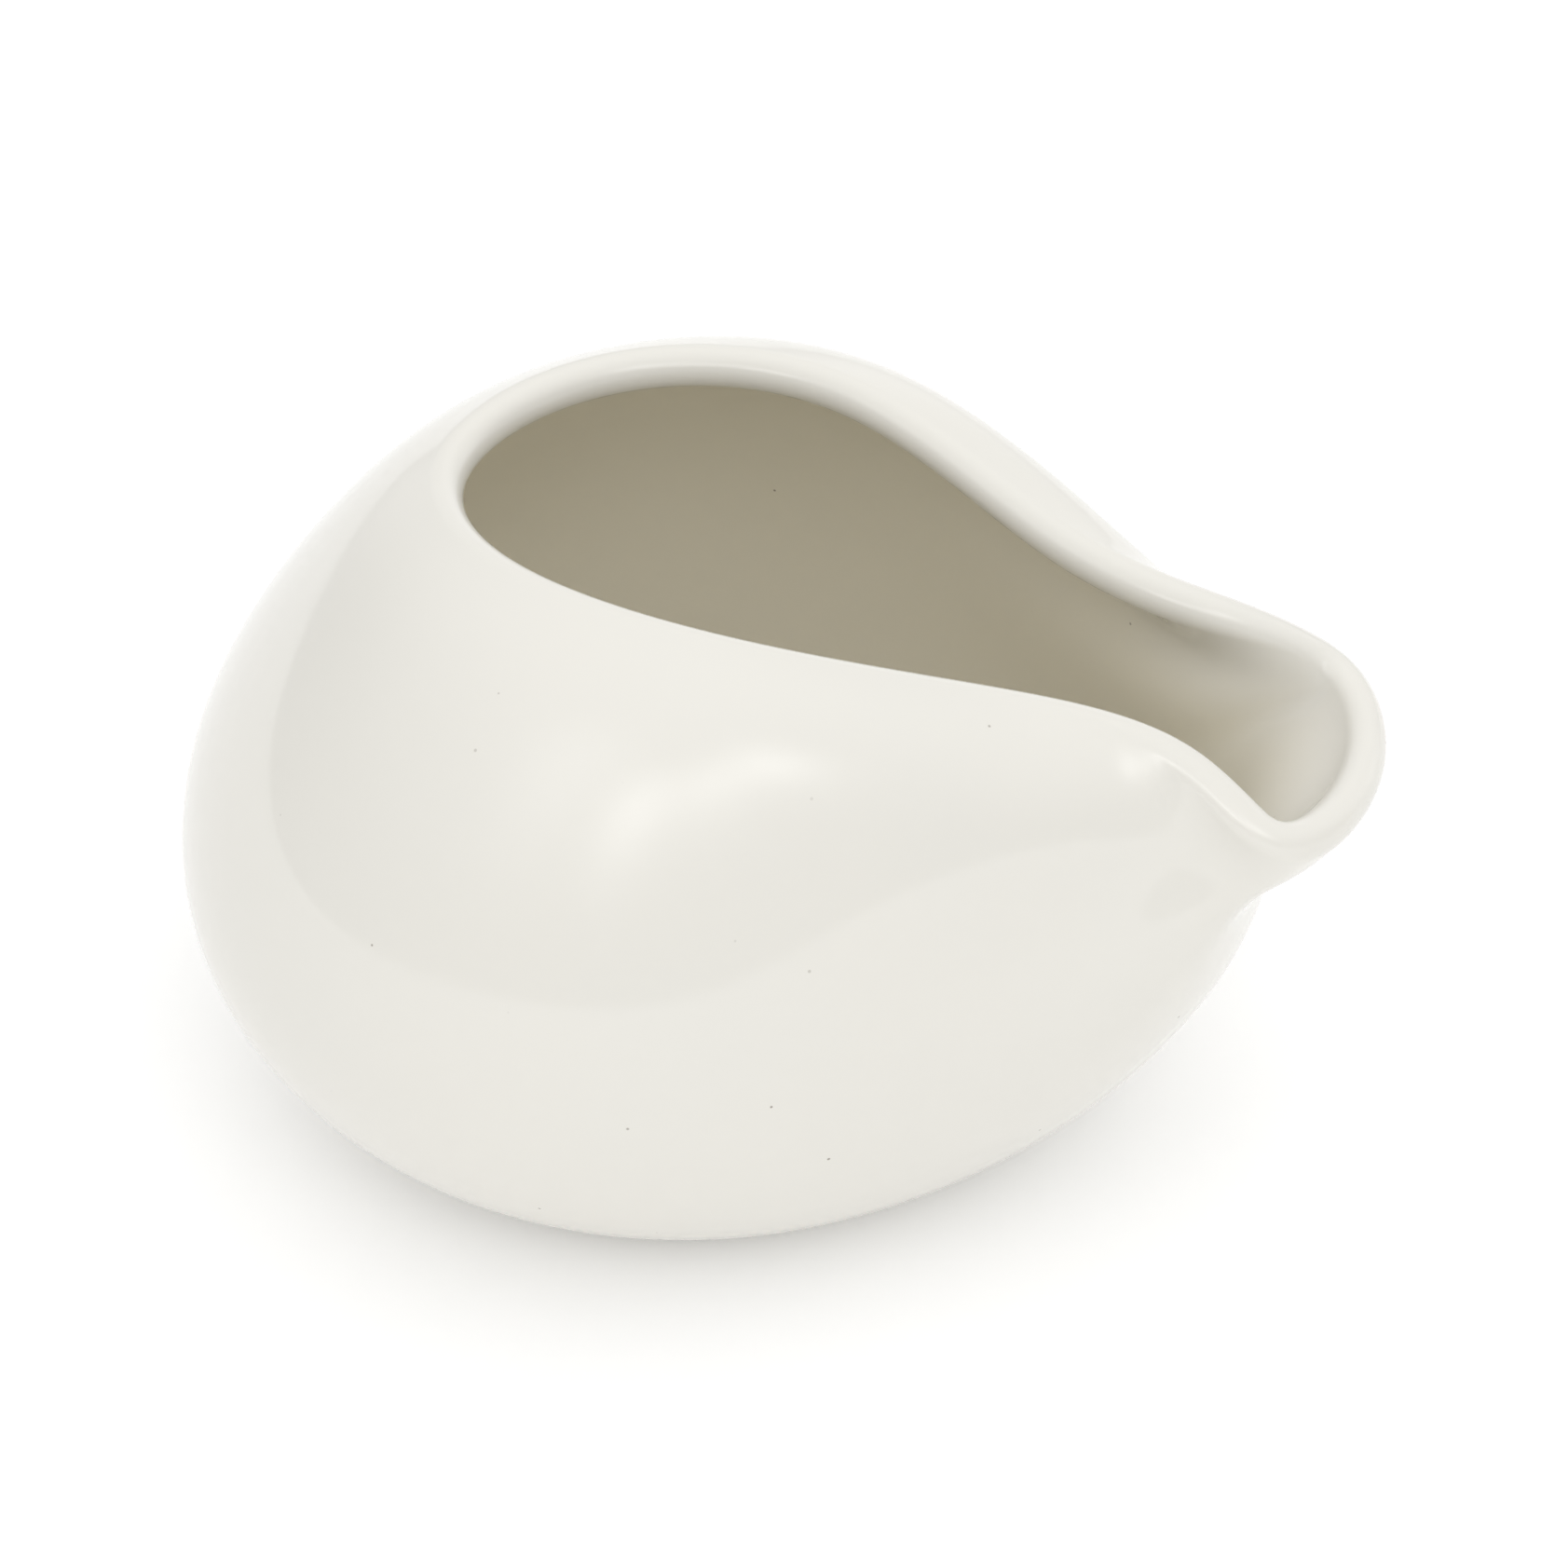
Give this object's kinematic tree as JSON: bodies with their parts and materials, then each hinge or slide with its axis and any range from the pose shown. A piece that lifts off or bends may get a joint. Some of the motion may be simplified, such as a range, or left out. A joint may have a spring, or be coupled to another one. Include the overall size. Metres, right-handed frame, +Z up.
{
  "type": "cream jug",
  "caption": "Handleless cream jug: a fat pebble-shaped porcelain body with closed-in shoulders, a slanting pear-shaped mouth, a round lip and a broad pouring spout, on a flat foot ring.",
  "frame": {"origin": "the middle of the jug's length and width, on the plane that it stands on", "axes": "+X towards the pouring spout, along the jug's length; +Z up; the jug is symmetric about the XZ plane"},
  "size_m": [0.1122, 0.0952, 0.0652],
  "materials": {
    "glazed_porcelain": "glossy ivory-white glaze over white porcelain, bare and matt on the foot ring"
  },
  "bodies": {
    "root": {"jug_body": "glazed_porcelain"}
  },
  "joints": []
}
